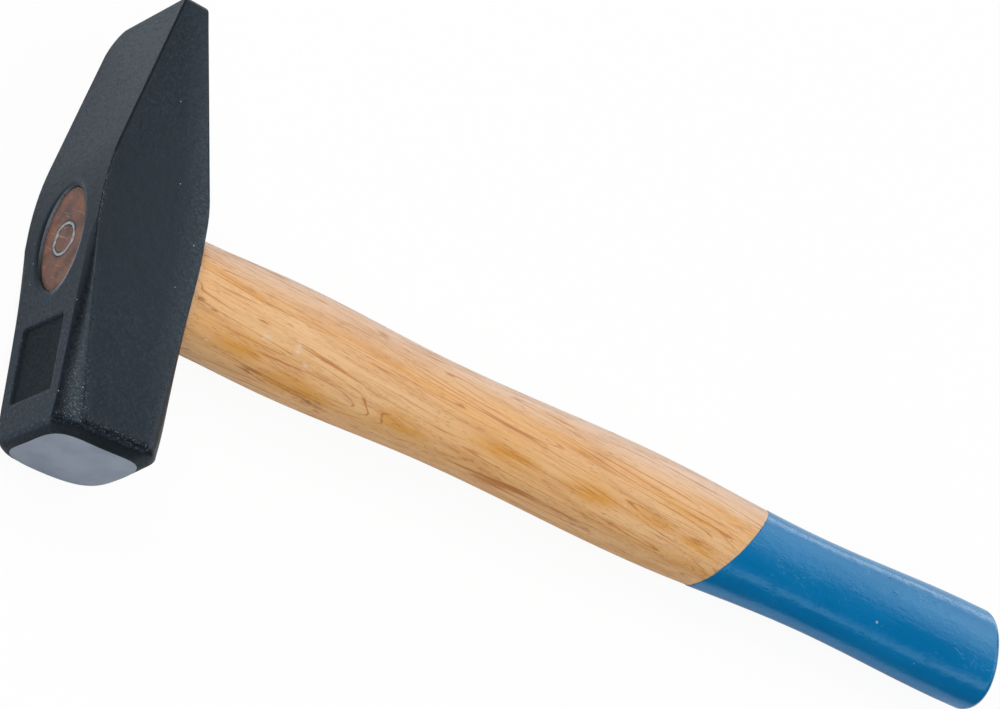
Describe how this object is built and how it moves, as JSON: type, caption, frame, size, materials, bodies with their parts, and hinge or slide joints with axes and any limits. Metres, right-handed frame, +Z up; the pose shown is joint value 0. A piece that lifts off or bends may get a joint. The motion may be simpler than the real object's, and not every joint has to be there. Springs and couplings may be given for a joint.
{
  "type": "cross peen hammer",
  "caption": "Cross peen hammer with a square bevelled striking end, a wedge-shaped peen and a double-waisted oval wooden handle held by a ring wedge, its butt dipped in blue.",
  "frame": {"origin": "on the lower cheek, the flat side of the head that the hammer lies on, under the middle of the eye", "axes": "+X along the handle to its butt, +Y along the head to the peen, +Z up through both cheeks"},
  "size_m": [0.3524, 0.1294, 0.0335],
  "materials": {
    "head_lacquer": "satin black lacquer with a fine grain, ground bare on the striking face",
    "handle_wood": "clear satin varnish over straight open-pored grain",
    "wedge_steel": "plain steel, ground flush",
    "coat_blue": "semi-gloss dipped lacquer"
  },
  "bodies": {
    "root": {"hammer_head": "head_lacquer", "handle": "handle_wood", "ring_wedge": "wedge_steel", "dip_coat": "coat_blue"}
  },
  "joints": []
}
